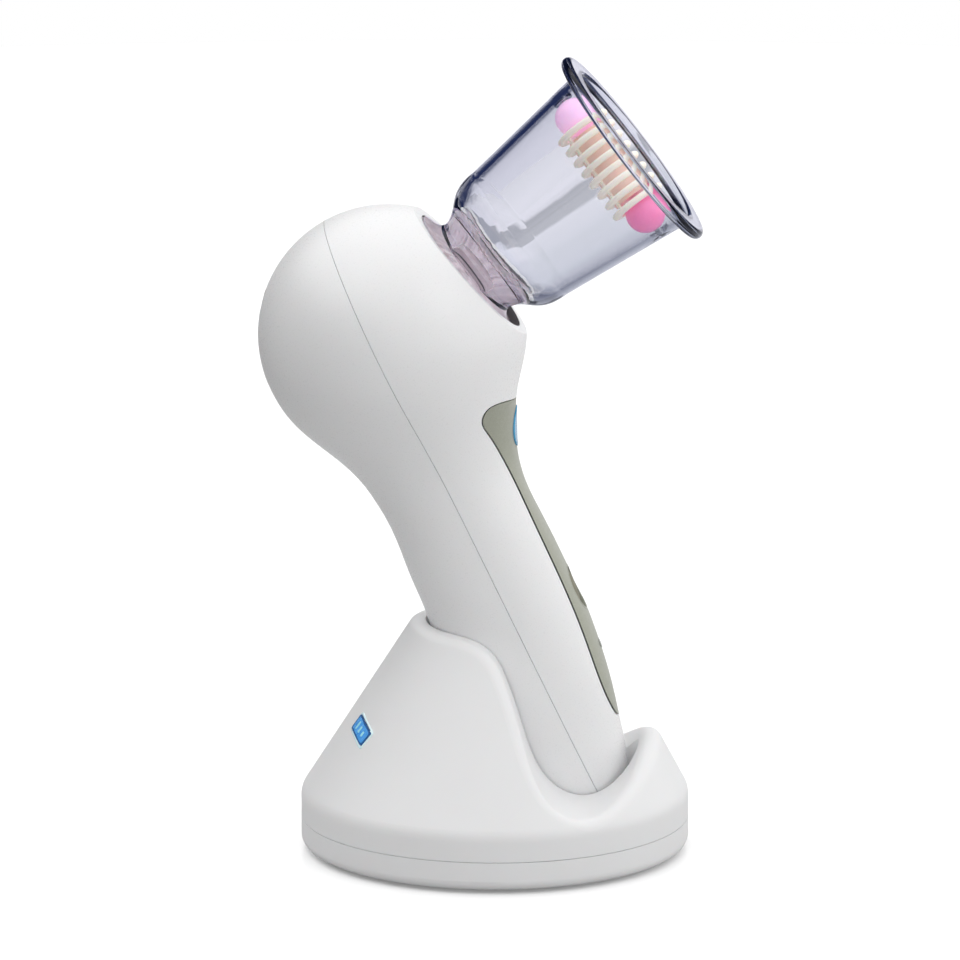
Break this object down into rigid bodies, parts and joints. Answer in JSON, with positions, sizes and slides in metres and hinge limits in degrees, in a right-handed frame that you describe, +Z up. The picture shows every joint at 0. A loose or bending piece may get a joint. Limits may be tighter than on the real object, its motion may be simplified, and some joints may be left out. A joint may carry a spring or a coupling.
{
  "type": "cordless vacuum body massager with charging stand",
  "caption": "Hand-held suction massager with a clear cup and a ribbed roller, standing in a conical charging stand with a saddle-shaped well.",
  "frame": {"origin": "centre of the round stand, on the surface that its pad lies on", "axes": "+Z up, +X the way the suction cup leans out, +Y across the object"},
  "size_m": [0.1417, 0.1248, 0.2572],
  "materials": {
    "white_shell": "satin, finely polished",
    "stand_white": "satin",
    "panel_champagne": "satin metallic",
    "badge_blue": "gloss",
    "button_olive": "gloss metallic",
    "lens_clear": "clear",
    "led_white": "gloss",
    "rubber_grey": "matte",
    "screw_steel": "zinc plated",
    "board_green": "solder mask",
    "contact_gold": "plated",
    "spring_steel": "bright",
    "black_plastic": "moulded",
    "battery_wrap": "shrink wrap over a metal can",
    "motor_can": "plated",
    "pump_grey": "moulded",
    "silicone": "translucent",
    "socket_pink": "satin",
    "cup_clear": "clear, polished",
    "roller_ivory": "soft moulded",
    "roller_pink": "gloss",
    "roller_blush": "satin"
  },
  "bodies": {
    "stand": {"stand_shell": "stand_white", "stand_base_plate": "stand_white", "stand_badge": "badge_blue", "anti_slip_pad": "rubber_grey", "stand_screw_1": "screw_steel", "stand_screw_2": "screw_steel", "stand_screw_3": "screw_steel", "stand_screw_4": "screw_steel", "charge_board": "board_green", "charge_board_screws": "screw_steel", "contact_block": "black_plastic", "contact_spring_left": "spring_steel", "contact_spring_right": "spring_steel", "charge_inlet": "black_plastic"},
    "contact_pin_left": {"contact_pin_left": "contact_gold"},
    "contact_pin_right": {"contact_pin_right": "contact_gold"},
    "power_button": {"power_button": "button_olive"},
    "crank": {"crank": "screw_steel", "crank_bearing": "spring_steel"},
    "rod": {"connecting_rod": "pump_grey"},
    "cup": {"suction_cup": "cup_clear"},
    "roller": {"roller_axle": "screw_steel", "roller_core": "roller_blush", "roller_knob_upper": "roller_pink", "roller_knob_lower": "roller_pink", "roller_sleeve": "roller_ivory"},
    "handset": {"front_shell": "white_shell", "rear_shell": "white_shell", "control_panel": "panel_champagne", "panel_badge": "badge_blue", "shell_screw_upper": "screw_steel", "shell_screw_lower": "screw_steel", "main_board": "board_green", "main_board_screws": "screw_steel", "power_switch": "black_plastic", "status_led": "led_white", "status_lens": "lens_clear", "battery_cell_left": "battery_wrap", "battery_cell_right": "battery_wrap", "battery_cradle": "black_plastic", "charge_contact_left": "contact_gold", "charge_contact_right": "contact_gold", "button_spring": "spring_steel", "motor": "motor_can", "motor_terminals": "contact_gold", "motor_screws": "screw_steel", "pump_frame": "pump_grey", "pump_diaphragm": "silicone", "pump_chamber": "pump_grey", "valve_sheet": "silicone", "pump_cover": "pump_grey", "pump_head_screws": "screw_steel", "pump_mounting_screws": "screw_steel", "suction_hose": "silicone", "socket_ring": "socket_pink", "socket_seal": "rubber_grey"}
  },
  "joints": [
    {"name": "handset_lift", "type": "slide", "parent": "stand", "child": "handset", "axis": [-0.3633, 0, 0.9317], "range_m": [0, 0.11]},
    {"name": "cup_pull", "type": "slide", "parent": "handset", "child": "cup", "axis": [0.7902, 0, 0.6129], "range_m": [0, 0.03]},
    {"name": "roller_spin", "type": "hinge", "parent": "cup", "child": "roller", "pos_m": [0.03652, 0, 0.22316], "axis": [0.5892, -0.2756, -0.7595], "continuous": true},
    {"name": "power_button_press", "type": "slide", "parent": "handset", "child": "power_button", "axis": [-0.9317, 0, -0.3633], "range_m": [0, 0.0006], "stiffness_N_per_m": 800, "springref_m": -0.001, "deforming": ["button_spring"]},
    {"name": "pump_spin", "type": "hinge", "parent": "handset", "child": "crank", "pos_m": [-0.0421, 0, 0.16217], "axis": [0.6129, 0, -0.7902], "continuous": true},
    {"name": "pump_rod_stroke", "type": "slide", "parent": "handset", "child": "rod", "axis": [0.7902, 0, 0.6129], "range_m": [-0.00075, 0.00075], "stiffness_N_per_m": 400, "deforming": ["pump_diaphragm"]},
    {"name": "contact_pin_left_press", "type": "slide", "parent": "stand", "child": "contact_pin_left", "axis": [0, 0, -1], "range_m": [0, 0.0008], "stiffness_N_per_m": 500, "springref_m": -0.0008, "deforming": ["contact_spring_left"]},
    {"name": "contact_pin_right_press", "type": "slide", "parent": "stand", "child": "contact_pin_right", "axis": [0, 0, -1], "range_m": [0, 0.0008], "stiffness_N_per_m": 500, "springref_m": -0.0008, "deforming": ["contact_spring_right"]}
  ]
}
